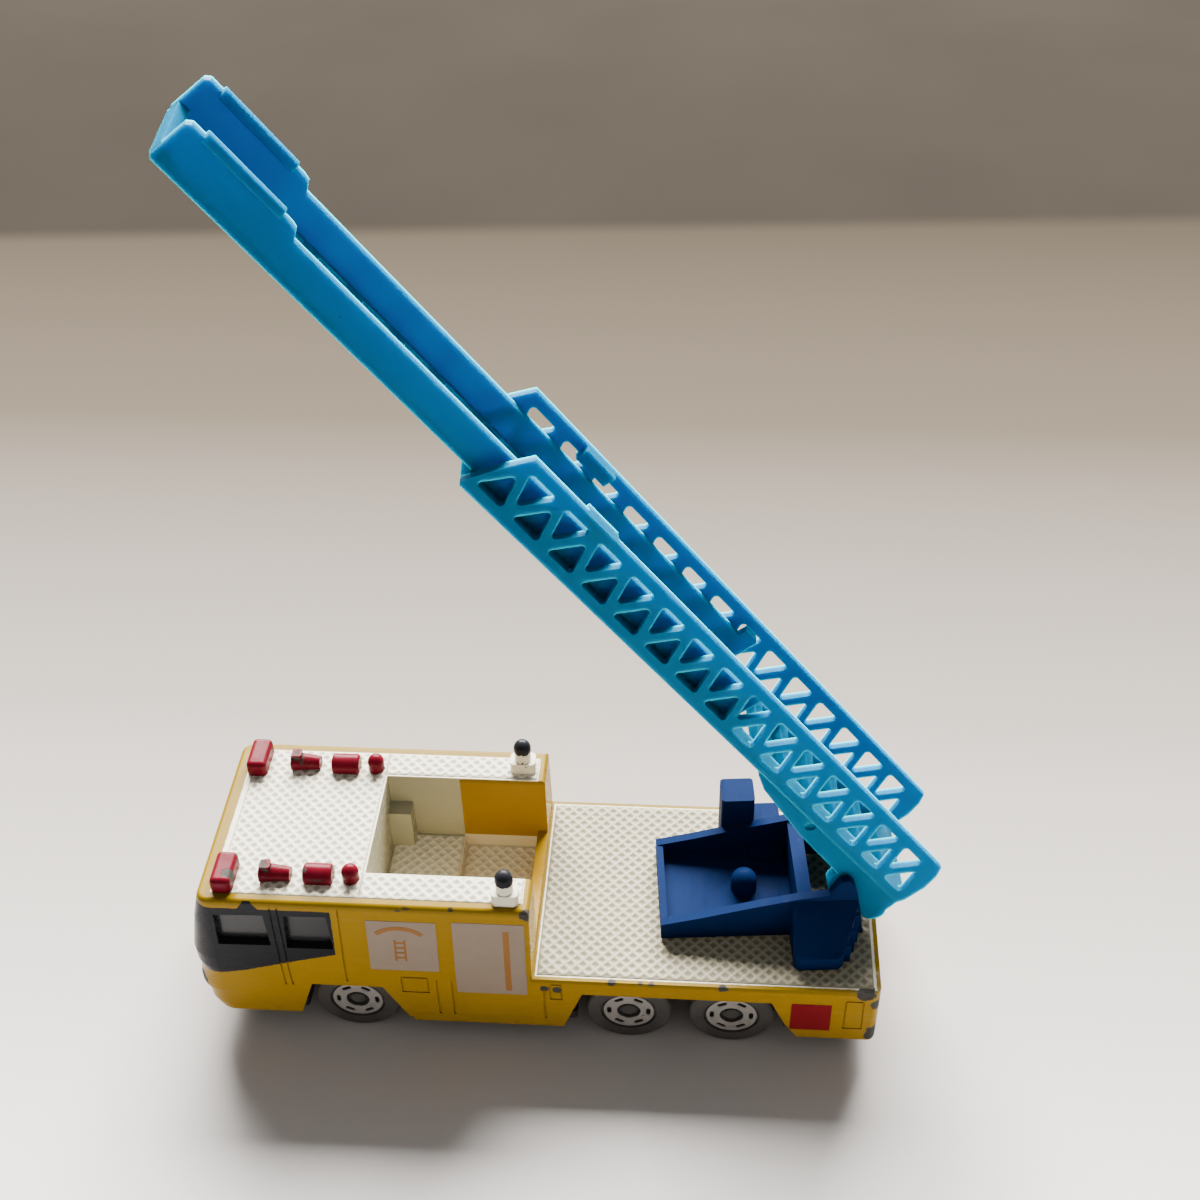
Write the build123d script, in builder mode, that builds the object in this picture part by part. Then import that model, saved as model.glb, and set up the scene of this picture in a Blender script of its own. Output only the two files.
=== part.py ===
from build123d import *
from math import cos, radians, sin
import os

os.makedirs("parts", exist_ok=True)

# A pocket-size ladder truck, in millimetres. +X is forward, +Y is the truck's left side, +Z is up.
# The origin is on the ground under the middle of the truck and its raised ladder.
# A station is a distance measured back from the front bumper.

# Body
body_length = 78.2
body_width = 26.8
front_x = 42.0
deck_height = 11.9
roof_height = 22.0
sill_height = 2.9
wall = 0.9
roof_thickness = 1.2
half_width = body_width / 2
roof_half_width = 12.1
cab_rear = 39.2

# Roof well behind the cab
well_front = 20.4
well_step = 29.1
well_rear = 38.0
well_half_width = 7.4
well_front_floor = 11.9
well_rear_floor = 10.3
well_sill_height = 13.1
well_wall = 1.1

# Running gear
wheel_radius = 4.9
wheel_width = 3.6
wheel_face_y = 12.25
hub_radius = 3.0
axle_radius = 0.6
axle_clearance = 0.05
axle_end = 11.4
axle_stations = (18.4, 50.0, 61.8)
hub_recess = 0.12
hub_slots = 6
hub_slot_radius = 2.25
hub_centre_radius = 1.35
hub_cap_radius = 0.85
plate_thickness = 1.2
plate_top = 4.1
plate_half_width = 12.0
bay_half_width = 8.4
wheel_bays = ((12.4, 24.4), (44.0, 67.8))
rivet_radius = 0.9
front_rivet_station = 26.8
rear_rivet_station = 73.0

# Inside the cab
interior_floor = 11.0
dashboard_profile = [(3.2, 10.9), (3.2, 13.4), (4.4, 14.4), (5.6, 14.3), (6.3, 13.2), (6.0, 10.9)]

# Turntable, turned a little to the left and seen from its own axis
turntable_station = 62.9
turntable_yaw = 5.0
tray_bottom = 12.2
tray_floor = 12.95
tray_half_width = 6.4
tray_wall = 1.0
tray_front = 10.0
tray_front_top = 14.6
crossbar_front = -5.4
crossbar_rear = -7.0
peg_radius = 1.5
peg_shank_radius = 1.2
peg_clearance = 0.06
peg_top = 14.35
box_ribs = ((-11.8, 7.6), (-11.25, 8.9), (-10.6, 10.2))

# Ladder, measured along and up from its hinge
hinge_back = 10.6
hinge_height = 19.6
ladder_pitch = 53.3
hinge_pin_radius = 0.6
hinge_clearance = 0.05
lower_half_width = 5.85
lower_panel = 0.8
lower_bottom = 3.1
lower_top = 10.1
lower_floor = 1.2
lattice_pitch = 4.95
lattice_bar = 1.0
rail = 1.2
lower_gap = 7.6
tab_rear = 54.9
tab_front = 59.2
tab_bottom = 8.6
upper_half_width = 4.6
upper_panel = 0.8
upper_bottom = 4.4
upper_top = 8.0
upper_floor = 0.6
upper_gap = 6.6
upper_rear = 28.9
upper_tip = 106.7
rung_pitch = 5.4
rung_width = 1.6
basket_top = 8.95
rim_rear = 96.8
rim_front = 105.0
cradle_half_width = 5.2
cradle_cheek = 1.3

# Frames that the moving parts are drawn in
yaw = radians(turntable_yaw)
pitch = radians(ladder_pitch)
axis_x = front_x - turntable_station
forward = Vector(cos(yaw), sin(yaw), 0)
sideways = Vector(sin(yaw), -cos(yaw), 0)
along_ladder = Vector(cos(yaw) * cos(pitch), sin(yaw) * cos(pitch), sin(pitch))
hinge_point = Vector(axis_x, 0, hinge_height) - forward * hinge_back
ladder_plane = Plane(origin=hinge_point, x_dir=along_ladder, z_dir=sideways)
rise = Vector(-cos(yaw) * sin(pitch), -sin(yaw) * sin(pitch), cos(pitch))
turntable_side = Plane(origin=(axis_x, 0, 0), x_dir=forward, z_dir=sideways)


def turntable_level(height):
    """The horizontal plane of the turntable at one height, x forward."""
    return Plane(origin=(axis_x, 0, height), x_dir=forward, z_dir=(0, 0, 1))


def at_station(distance):
    """The x of a point that lies this far behind the front bumper."""
    return front_x - distance


def finish(part, name):
    """Label one finished piece and write it."""
    part.label = name
    export_step(part, "parts/" + name + ".step")
    print(name, round(part.volume, 1))


# The cab's outline at a few heights: height, station of the front, half width, corner radius
cab_levels = [
    (3.7, 1.5, 13.36, 2.6),
    (4.9, 0.8, 13.4, 2.8),
    (6.9, 0.7, 13.4, 2.9),
    (7.2, 0.0, 13.4, 3.3),
    (7.9, 0.0, 13.4, 3.3),
    (9.7, 0.4, 13.35, 3.1),
    (10.4, 0.5, 13.33, 3.0),
    (11.3, 0.1, 13.31, 3.2),
    (13.0, 0.0, 13.18, 3.2),
    (14.6, 0.3, 12.99, 3.0),
    (18.0, 1.0, 12.58, 2.3),
    (roof_height, 2.1, roof_half_width, 1.4),
]


def cab_form(levels, rear):
    """A solid with the cab's outline at each level, from the front to the rear station."""
    with BuildPart() as form:
        for height, front, half, corner in levels:
            with BuildSketch(Plane.XY.offset(height)) as outline:
                with Locations((at_station((front + rear) / 2), 0)):
                    Rectangle(rear - front, 2 * half)
                fillet(outline.vertices().sort_by(Axis.X)[-2:], radius=corner)
        loft(ruled=True)
    return form.part


def prism(profile, half_depth):
    """A solid of one side outline, given as stations and heights, across the whole width."""
    with BuildPart() as solid:
        with BuildSketch(Plane.XZ) as outline:
            with BuildLine():
                Polyline([(at_station(s), z) for s, z in profile], close=True)
            make_face()
        extrude(amount=half_depth, both=True)
    return solid.part


def block(station_a, station_b, y_a, y_b, z_a, z_b):
    """A box between two stations, two sides and two heights."""
    with BuildPart() as solid:
        with Locations((at_station((station_a + station_b) / 2), (y_a + y_b) / 2, (z_a + z_b) / 2)):
            Box(abs(station_b - station_a), abs(y_b - y_a), abs(z_b - z_a))
    return solid.part


# Stations and heights of the wheel arches; they run below the sills
front_arch = [(11.7, 3.0), (13.8, 9.15), (22.0, 9.15), (25.2, 2.5), (25.2, 0), (11.0, 0)]
rear_arch = [(42.3, 2.5), (44.8, 9.4), (66.2, 9.3), (67.7, 5.7), (69.7, 2.5), (69.7, 0), (42.3, 0)]

# Lines in the sides: door gaps (station at top and bottom, then heights), joints and lockers
door_gaps = [(10.3, 10.7, 21.3, 8.9), (11.1, 11.5, 21.3, 8.9), (17.9, 17.9, 21.3, 9.9)]
panel_joints = [(28.2, 4.6, 10.8), (29.9, 4.6, 10.8), (40.4, 4.6, 10.3)]
locker_frames = [(24.2, 27.4, 8.4, 11.2), (41.1, 42.6, 8.2, 11.1), (74.3, 76.5, 5.1, 10.3)]

# Windows in the cab's side, as stations and heights
front_pane = [(3.9, 15.3), (3.9, 19.8), (9.5, 20.0), (9.9, 15.4)]
rear_pane = [(11.7, 15.1), (11.8, 20.0), (16.6, 20.1), (17.0, 15.2)]


def roof_lights():
    """The cast lights, horns and rear lamps that stand on the roof, on both sides."""
    with BuildPart() as lights:
        # Wide front beacon, its long axis across the roof
        with Locations((at_station(4.9), 8.8, roof_height + 0.8)):
            beacon = Box(2.4, 4.6, 2.4)
        fillet(beacon.edges(), radius=0.6)
        # Horn that widens to the front, with a small lug on it
        with BuildSketch(Plane.YZ.offset(at_station(12.3))):
            with Locations((8.5, roof_height + 0.7)):
                Circle(0.8)
        with BuildSketch(Plane.YZ.offset(at_station(8.9))):
            with Locations((8.5, roof_height + 0.85)):
                Circle(1.15)
        loft()
        with BuildSketch(Plane.XY.offset(roof_height + 0.7)):
            with Locations((at_station(9.6), 8.5)):
                RectangleRounded(1.2, 1.2, 0.3)
        extrude(amount=1.6)
        # Lying drum
        with Locations((at_station(15.4), 8.4, roof_height + 0.7)):
            drum = Cylinder(1.25, 3.3, rotation=(0, 90, 0))
        fillet(drum.edges().filter_by(GeomType.CIRCLE), radius=0.4)
        # Round knob
        with Locations((at_station(19.0), 8.4, roof_height + 0.5)):
            Cylinder(0.95, 1.6)
        with Locations((at_station(19.0), 8.4, roof_height + 1.3)):
            Sphere(0.98)
        # Everything under the roof skin is taken off
        with Locations((0, 0, roof_height - 5.3)):
            Box(200, 60, 10, mode=Mode.SUBTRACT)
        mirror(about=Plane.XZ)
        # The rear lamps; the right one stands a little further in
        for lamp_y in (10.4, -9.3):
            add(rear_lamp(lamp_y))
    return lights.part


def rear_lamp(lamp_y):
    """One rear lamp: a foot, a column and a domed cap."""
    with BuildPart() as lamp:
        with BuildSketch(Plane.XY.offset(roof_height - 0.3)):
            with Locations((at_station(36.5), lamp_y)):
                RectangleRounded(3.0, 2.1, 0.6)
        extrude(amount=2.0)
        with Locations((at_station(36.5), lamp_y, roof_height + 2.2)):
            Cylinder(0.95, 2.0)
        with Locations((at_station(36.5), lamp_y, roof_height + 3.35)):
            Cylinder(1.02, 0.5)
        with Locations((at_station(36.5), lamp_y, roof_height + 3.6)):
            Sphere(1.02)
    return lamp.part


def frame_outline(station_a, station_b, z_a, z_b, width):
    """The four thin bars of a rectangle on the truck's sides, as one solid across its width."""
    with BuildPart() as bars:
        add(block(station_a, station_b, -20, 20, z_a, z_b))
        add(block(station_a + width, station_b - width, -21, 21, z_a + width, z_b - width),
            mode=Mode.SUBTRACT)
    return bars.part


def engraving():
    """Shallow lines in both sides: door gaps, locker outlines and panel joints."""
    width = 0.22
    depth = 0.16
    inner = [(z, front - 1, half - depth, corner) for z, front, half, corner in cab_levels]
    with BuildPart() as lines:
        for top_station, bottom_station, top, bottom in door_gaps:
            add(prism([(top_station, top), (top_station + width, top),
                       (bottom_station + width, bottom), (bottom_station, bottom)], 20))
        for station, bottom, top in panel_joints:
            add(block(station, station + width, -20, 20, bottom, top))
        for station_a, station_b, z_a, z_b in locker_frames:
            add(frame_outline(station_a, station_b, z_a, z_b, width))
        add(cab_form(inner, cab_rear + 0.01), mode=Mode.SUBTRACT)
        add(block(cab_rear - 0.5, 90, -half_width + depth, half_width - depth, 0, 30),
            mode=Mode.SUBTRACT)
    return lines.part


def front_face():
    """Cutters for the grille slots and the headlamp recesses in the cab's front."""
    with BuildPart() as cuts:
        for height in (4.9, 5.6, 6.3):
            add(block(-1, 1.05, -4.6, 4.6, height, height + 0.35))
        for side in (-1, 1):
            add(block(-1, 1.0, side * 6.0, side * 9.6, 4.7, 6.7))
    return cuts.part


def hollow_cab():
    """The space inside the cab, one wall thickness in from its outside."""
    levels = [(z, front + 1.0, half - wall, max(corner - wall, 0.5))
              for z, front, half, corner in cab_levels]
    levels[0] = (2.0,) + levels[0][1:]
    with BuildPart() as space:
        add(cab_form(levels, cab_rear - 1.0))
        add(block(-5, 45, -20, 20, roof_height - roof_thickness, 30), mode=Mode.SUBTRACT)
    return space.part


def body_casting():
    """The cab, roof well and rear deck as one hollow casting, open below."""
    boss_top = deck_height - 1.4
    with BuildPart() as body:
        add(cab_form(cab_levels, cab_rear))
        add(prism([(25.1, sill_height), (25.1, 4.6), (cab_rear, 4.6), (cab_rear, deck_height),
                   (body_length, deck_height), (body_length, 3.6),
                   (body_length - 0.6, sill_height)], half_width))
        fillet(body.edges().filter_by(Axis.Z).sort_by(Axis.X)[:2], radius=0.9)
        fillet(body.faces().sort_by(Axis.Z)[-1].edges(), radius=0.5)
        deck = body.faces().filter_by(Axis.Z).sort_by(SortBy.AREA)[-1]
        deck_edges = [e for e in deck.edges() if e.center().X < at_station(cab_rear) - 1]
        fillet(deck_edges, radius=0.35)
        # Hollow from below
        add(hollow_cab(), mode=Mode.SUBTRACT)
        add(block(37, body_length - wall, -half_width + wall, half_width - wall, 2, boss_top),
            mode=Mode.SUBTRACT)
        for arch in (front_arch, rear_arch):
            add(prism(arch, half_width + 1), mode=Mode.SUBTRACT)
        # Roof well: its walls first, then the space inside them
        outer = well_half_width + well_wall
        add(block(well_front - well_wall, cab_rear, -outer, outer, well_front_floor - 1,
                  roof_height - 0.6))
        add(block(well_step - well_wall, cab_rear, -outer, outer, well_rear_floor - 1,
                  roof_height - 0.6))
        add(block(well_front, well_step, -well_half_width, well_half_width, well_front_floor, 30),
            mode=Mode.SUBTRACT)
        add(block(well_step, well_rear, -well_half_width, well_half_width, well_rear_floor, 30),
            mode=Mode.SUBTRACT)
        add(block(well_rear - 0.1, cab_rear + 0.1, -well_half_width, well_half_width,
                  well_sill_height, 30), mode=Mode.SUBTRACT)
        # Seat block in the well's front right corner
        add(block(well_front - 0.1, well_front + 2.7, -well_half_width - 0.1, -5.3,
                  well_front_floor - 0.1, 17.6))
        # Windows and windscreen
        for pane in (front_pane, rear_pane):
            add(prism(pane, half_width + 1), mode=Mode.SUBTRACT)
        add(block(-1, 3.2, -9.6, 9.6, 13.6, 19.6), mode=Mode.SUBTRACT)
        add(engraving(), mode=Mode.SUBTRACT)
        add(front_face(), mode=Mode.SUBTRACT)
        add(roof_lights())
        # Boss under the deck for the turntable's peg, and the posts that take the rivets
        with Locations((axis_x, 0, boss_top - 0.3)):
            Cylinder(2.6, 0.8)
        for station, top in ((front_rivet_station, well_front_floor - 0.9),
                             (rear_rivet_station, boss_top + 0.1)):
            with Locations((at_station(station), 0, (plate_top + top) / 2)):
                Cylinder(2.0, top - plate_top)
            with Locations((at_station(station), 0, plate_top + 1.9)):
                Cylinder(rivet_radius, 4.0, mode=Mode.SUBTRACT)
        with Locations((axis_x, 0, deck_height - 1)):
            Cylinder(peg_shank_radius + peg_clearance, 4, mode=Mode.SUBTRACT)
    return body.part


def base_plate():
    """The flat plate that closes the body from below, with a pair of bearings for each axle."""
    with BuildPart() as plate:
        with BuildSketch(Plane.XY.offset(plate_top - plate_thickness)):
            with Locations((at_station(40.0), 0)):
                RectangleRounded(73.4, 2 * plate_half_width, 2.0)
            for front, rear in wheel_bays:
                for side in (-1, 1):
                    with Locations((at_station((front + rear) / 2), side * (bay_half_width + 5))):
                        Rectangle(rear - front, 10, mode=Mode.SUBTRACT)
        extrude(amount=plate_thickness)
        fillet(plate.edges().filter_by(Axis.Z), radius=0.4)
        # Long stiffening ribs on top of the plate
        for side in (-1, 1):
            with Locations((at_station(35.0), side * 5.0, plate_top + 0.4)):
                Box(14, 1.0, 1.0)
        for station in axle_stations:
            for side in (-1, 1):
                with Locations((at_station(station), side * 7.3, plate_top + 1.0)):
                    bearing = Box(3.6, 1.8, 2.4)
                fillet(bearing.edges().filter_by(Axis.Y).sort_by(Axis.Z)[-2:], radius=0.9)
            with Locations((at_station(station), 0, wheel_radius)):
                Cylinder(axle_radius + axle_clearance, 40, rotation=(90, 0, 0), mode=Mode.SUBTRACT)
        for station in (front_rivet_station, rear_rivet_station):
            with Locations((at_station(station), 0, plate_top)):
                Cylinder(rivet_radius, 6, mode=Mode.SUBTRACT)
    return plate.part


def rivet(station):
    """A rivet with a low domed head under the plate, its shank in the casting's post."""
    under = plate_top - plate_thickness
    with BuildPart() as pin:
        with BuildSketch(Plane.XZ):
            with BuildLine():
                Line((0, under - 0.55), (0.9, under - 0.55))
                ThreePointArc((0.9, under - 0.55), (1.5, under - 0.4), (1.8, under))
                Polyline((1.8, under), (rivet_radius, under), (rivet_radius, under + 4.4),
                         (0, under + 4.4), (0, under - 0.55))
            make_face()
        revolve(axis=Axis.Z)
    return pin.part.moved(Location((at_station(station), 0, 0)))


def window_glazing():
    """The one-piece clear insert that stands inside the cab walls behind every window."""
    outside = [(z, front + 1.06, half - wall - 0.06, max(corner - wall, 0.6))
               for z, front, half, corner in cab_levels]
    inside = [(z, front + 1.8, half - wall - 0.8, max(corner - 1.6, 0.5))
              for z, front, half, corner in cab_levels]
    with BuildPart() as glazing:
        add(cab_form(outside, 18.6))
        add(cab_form(inside, 22), mode=Mode.SUBTRACT)
        add(block(-5, 30, -20, 20, 0, interior_floor), mode=Mode.SUBTRACT)
        add(block(-5, 30, -20, 20, 20.7, 30), mode=Mode.SUBTRACT)
    return glazing.part


def cab_interior():
    """The cab's floor, dashboard, seats and steering wheel, moulded in one and standing on legs."""
    with BuildPart() as cabin:
        with BuildSketch(Plane.XY.offset(interior_floor - 0.8)):
            with Locations((at_station(10.8), 0)):
                RectangleRounded(15.6, 23.8, 1.8)
        extrude(amount=0.8)
        # Dashboard
        with BuildSketch(Plane.XZ) as section:
            with BuildLine():
                Polyline([(at_station(s), z) for s, z in dashboard_profile], close=True)
            make_face()
        extrude(amount=10.2, both=True)
        # Front seats and the bench behind them
        for side in (-1, 1):
            add(seat(9.0, side * 5.6, 6.4))
        add(seat(14.6, 0, 17.0))
        # Steering wheel on its column
        with Locations(Location((at_station(7.3), -5.6, 15.0), (0, -40, 0))):
            Torus(1.5, 0.25)
            Cylinder(0.3, 3.0, align=(Align.CENTER, Align.CENTER, Align.MAX))
            Box(3.0, 0.5, 0.3)
        for station, y in ((6.5, 5.0), (6.5, -5.0), (13.0, 0)):
            with Locations((at_station(station), y, (plate_top + interior_floor - 0.4) / 2)):
                Cylinder(1.2, interior_floor - 0.4 - plate_top)
    return cabin.part


def seat(front, y, width):
    """One seat or bench with a leaning back, its cushion starting at the front station."""
    with BuildPart() as chair:
        with BuildSketch(Plane.XZ.offset(-y)) as side_shape:
            with BuildLine():
                Polyline((at_station(front), interior_floor - 0.1), (at_station(front), 12.9),
                         (at_station(front + 2.5), 12.7), (at_station(front + 2.9), 17.0),
                         (at_station(front + 3.7), 17.0),
                         (at_station(front + 3.5), interior_floor - 0.1), close=True)
            make_face()
            fillet(side_shape.vertices().sort_by(Axis.Z)[-3:], radius=0.35)
        extrude(amount=width / 2, both=True)
    return chair.part


def axle(station):
    """A plain steel axle across the truck."""
    with BuildPart() as shaft:
        with Locations((at_station(station), 0, wheel_radius)):
            Cylinder(axle_radius, 2 * axle_end, rotation=(90, 0, 0))
        fillet(shaft.edges().filter_by(GeomType.CIRCLE), radius=0.1)
    return shaft.part


def wheel():
    """One wheel about the Y axis, its outer face towards +Y and its centre at the origin."""
    face = wheel_width / 2
    with BuildPart() as tyre:
        Cylinder(wheel_radius, wheel_width, rotation=(90, 0, 0))
        fillet(tyre.edges().filter_by(GeomType.CIRCLE), radius=0.45)
        outer_face = Plane(origin=(0, face, 0), x_dir=(1, 0, 0), z_dir=(0, 1, 0))
        # Ring groove between tyre and hub
        with BuildSketch(outer_face):
            Circle(hub_radius + 0.2)
            Circle(hub_radius, mode=Mode.SUBTRACT)
        extrude(amount=-0.4, mode=Mode.SUBTRACT)
        # The hub's rim stands a little in from the tyre; its slots, its dark centre and the cap in it
        with BuildSketch(outer_face):
            Circle(hub_radius + 0.1)
        extrude(amount=-hub_recess, mode=Mode.SUBTRACT)
        with BuildSketch(outer_face):
            with PolarLocations(hub_slot_radius, hub_slots):
                SlotOverall(1.2, 0.5, rotation=90)
            Circle(hub_centre_radius)
        extrude(amount=-0.7, mode=Mode.SUBTRACT)
        with BuildSketch(outer_face.offset(-0.7)):
            Circle(hub_cap_radius)
        extrude(amount=0.45)
        # Open back of the wheel round its hub
        inner_face = Plane(origin=(0, -face, 0), x_dir=(1, 0, 0), z_dir=(0, -1, 0))
        with BuildSketch(inner_face):
            Circle(3.6)
            Circle(1.4, mode=Mode.SUBTRACT)
        extrude(amount=-1.5, mode=Mode.SUBTRACT)
        with BuildSketch(inner_face):
            Circle(axle_radius)
        extrude(amount=-(axle_end - (wheel_face_y - wheel_width)), mode=Mode.SUBTRACT)
    return tyre.part


def wall_outline():
    """The side outline of the tray's walls, rising to the ears that carry the ladder's hinge."""
    return [(tray_front, tray_bottom), (tray_front, tray_front_top), (5.6, 15.6), (0, 17.1), (-5.3, 18.4), (-8.9, 18.95),
            (-9.6, 20.5), (-10.1, 21.3), (-10.9, 21.4), (-11.5, 20.6), (-11.9, 19.3), (-12.4, 17.0),
            (-13.1, tray_bottom)]


def turntable():
    """The tray with its walls, ears, cross-bar, console and the ribbed box on its left."""
    with BuildPart() as tray:
        # Floor and its bearing pad on the deck
        with BuildSketch(turntable_level(tray_bottom)):
            with Locations(((tray_front + crossbar_rear) / 2, 0)):
                Rectangle(tray_front - crossbar_rear, 2 * tray_half_width)
        extrude(amount=tray_floor - tray_bottom)
        with BuildSketch(turntable_level(deck_height)):
            Circle(3.4)
        extrude(amount=tray_bottom - deck_height + 0.1)
        # Both side walls with their ears
        for side in (-1, 1):
            wall_middle = side * (tray_half_width - tray_wall / 2)
            with BuildSketch(turntable_side.offset(wall_middle)):
                with BuildLine():
                    Polyline(wall_outline(), close=True)
                make_face()
            extrude(amount=tray_wall / 2, both=True)
        # Front wall
        with BuildSketch(turntable_level(tray_bottom)):
            with Locations((tray_front - 0.4, 0)):
                Rectangle(0.8, 2 * tray_half_width)
        extrude(amount=tray_front_top - tray_bottom)
        # Cross-bar
        with BuildSketch(turntable_level(tray_bottom)):
            with Locations(((crossbar_front + crossbar_rear) / 2, 0)):
                Rectangle(crossbar_front - crossbar_rear, 2 * tray_half_width)
        extrude(amount=18.2 - tray_bottom)
        # Low ridge and block at the foot of the right wall
        with BuildSketch(turntable_level(tray_floor - 0.1)):
            with Locations((0.3, -4.9)):
                Rectangle(3.6, 1.2)
        extrude(amount=0.6)
        with BuildSketch(turntable_level(tray_floor - 0.1)):
            with Locations((-3.0, -4.7)):
                Rectangle(4.0, 1.6)
        extrude(amount=1.1)
        # Console on the right: a tower with a lower block behind it
        with BuildSketch(turntable_level(tray_bottom)):
            with Locations((0.3, -8.1)):
                RectangleRounded(3.9, 3.6, 0.45)
        extrude(amount=21.0 - tray_bottom)
        fillet(tray.faces().sort_by(Axis.Z)[-1].edges(), radius=0.35)
        with BuildSketch(turntable_level(tray_bottom)):
            with Locations((-3.0, -7.9)):
                Rectangle(3.6, 3.2)
        extrude(amount=17.0 - tray_bottom)
        add(ribbed_box())
        # Hinge holes, blind from the inside, and the hole for the peg
        for side in (-1, 1):
            with BuildSketch(turntable_side.offset(side * (tray_half_width - tray_wall - 0.5))):
                with Locations((-hinge_back, hinge_height)):
                    Circle(hinge_pin_radius + hinge_clearance)
            extrude(amount=side * 1.05, mode=Mode.SUBTRACT)
        with BuildSketch(turntable_level(deck_height - 1)):
            Circle(peg_shank_radius)
        extrude(amount=3, mode=Mode.SUBTRACT)
    return tray.part


def ribbed_box():
    """The box on the turntable's left rear: a sloping top and three upright ribs behind."""
    with BuildPart() as box:
        with BuildSketch(turntable_level(tray_bottom)):
            with BuildLine():
                Polyline([(-4.7, 6.3), (-4.7, 10.9), (-5.2, 11.4), (-9.6, 11.4), (-10.1, 11.0),
                          (-12.1, 6.9), (-12.1, 6.3)], close=True)
            make_face()
        extrude(amount=7.0)
        # Ribs on the slanted rear face
        for rib_x, rib_y in box_ribs:
            with BuildSketch(turntable_level(tray_bottom)):
                with Locations((rib_x, rib_y)):
                    Rectangle(0.9, 0.34)
            extrude(amount=7.0)
        # The top falls away from the tray wall to the outer face
        with BuildSketch(Plane(origin=(axis_x, 0, 0), x_dir=-sideways, z_dir=forward)) as slope:
            with BuildLine():
                Polyline([(6.3, 18.2), (6.3, 25), (14, 25), (14, 12.9), (11.0, 14.3)], close=True)
            make_face()
        extrude(amount=30, both=True, mode=Mode.SUBTRACT)
    return box.part


def turntable_peg():
    """The round-headed peg that holds the turntable on the deck, split and barbed below."""
    with BuildPart() as peg:
        with BuildSketch(Plane.XZ):
            with BuildLine():
                Polyline((0, tray_floor), (0, 8.7), (peg_shank_radius - 0.3, 8.7),
                         (peg_shank_radius + 0.45, 9.5), (peg_shank_radius + 0.45, 9.7),
                         (peg_shank_radius, 9.7), (peg_shank_radius, tray_floor),
                         (peg_radius, tray_floor), (peg_radius, peg_top))
                ThreePointArc((peg_radius, peg_top),
                              (peg_radius * cos(radians(45)), peg_top + peg_radius * sin(radians(45))),
                              (0, peg_top + peg_radius))
                Line((0, peg_top + peg_radius), (0, tray_floor))
            make_face()
        revolve(axis=Axis.Z)
        with Locations((0, 0, 9.6)):
            Box(0.5, 6, 3.4, mode=Mode.SUBTRACT)
    return peg.part.moved(Location((axis_x, 0, 0), (0, 0, turntable_yaw)))


def ladder_hinge_pin():
    """The pin through the cradle, its ends in the turntable's ears."""
    with BuildPart() as pin:
        with BuildSketch(ladder_plane):
            Circle(hinge_pin_radius)
        extrude(amount=tray_half_width - tray_wall + 0.45, both=True)
    return pin.part


def ladder_cradle():
    """The two cheeks under the ladder with the web and the tail roller between them."""
    with BuildPart() as cradle:
        for side in (-1, 1):
            middle = side * (cradle_half_width - cradle_cheek / 2)
            with BuildSketch(ladder_plane.offset(middle)) as cheek:
                with BuildLine():
                    Polyline([(21.3, lower_bottom), (20.7, 2.4), (18.5, 1.6), (10.0, 0.6), (1.5, 0.3),
                              (0, -1.8), (-6.0, -1.0), (-7.2, 0.6), (-6.6, lower_bottom)], close=True)
                make_face()
                Circle(1.9)
                with Locations((-6.3, -0.1)):
                    Circle(1.4)
            extrude(amount=cradle_cheek / 2, both=True)
        # Web and cross-bars that tie the cheeks together
        with BuildSketch(ladder_plane):
            with Locations((7.0, lower_bottom - 0.4)):
                Rectangle(27.0, 0.8)
            with Locations((-6.3, -0.1)):
                Circle(1.0)
            with Locations((20.2, 2.7)):
                Circle(0.4)
        extrude(amount=cradle_half_width - 0.5, both=True)
        # Round dimple in each cheek
        for side in (-1, 1):
            with BuildSketch(ladder_plane.offset(side * (cradle_half_width + 0.1))):
                with Locations((10.4, 2.2)):
                    Circle(0.6)
            extrude(amount=-side * 0.35, mode=Mode.SUBTRACT)
        with BuildSketch(ladder_plane):
            Circle(hinge_pin_radius)
        extrude(amount=cradle_half_width + 1, both=True, mode=Mode.SUBTRACT)
    return cradle.part


def lattice_holes():
    """The triangles of the lattice: some stand on the bottom rail, the others hang from the top."""
    floor_z = lower_bottom + rail
    ceiling_z = lower_top - rail
    slope = (lattice_pitch / 2) / (ceiling_z - floor_z)
    spare = 0.56 * lattice_bar
    base = lattice_pitch / 2 - spare
    point = spare / slope
    with BuildPart() as holes:
        with BuildSketch(ladder_plane) as lattice:
            for number in range(15):
                middle = number * lattice_pitch - 2.8
                with BuildLine():
                    Polyline([(middle - base, floor_z), (middle + base, floor_z),
                              (middle, ceiling_z - point)], close=True)
                make_face()
            for number in range(14):
                middle = number * lattice_pitch - 0.2
                with BuildLine():
                    Polyline([(middle - base, ceiling_z), (middle + base, ceiling_z),
                              (middle, floor_z + point)], close=True)
                make_face()
            fillet(lattice.vertices(), radius=0.4)
        extrude(amount=lower_half_width + 1, both=True)
    return holes.part


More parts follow.
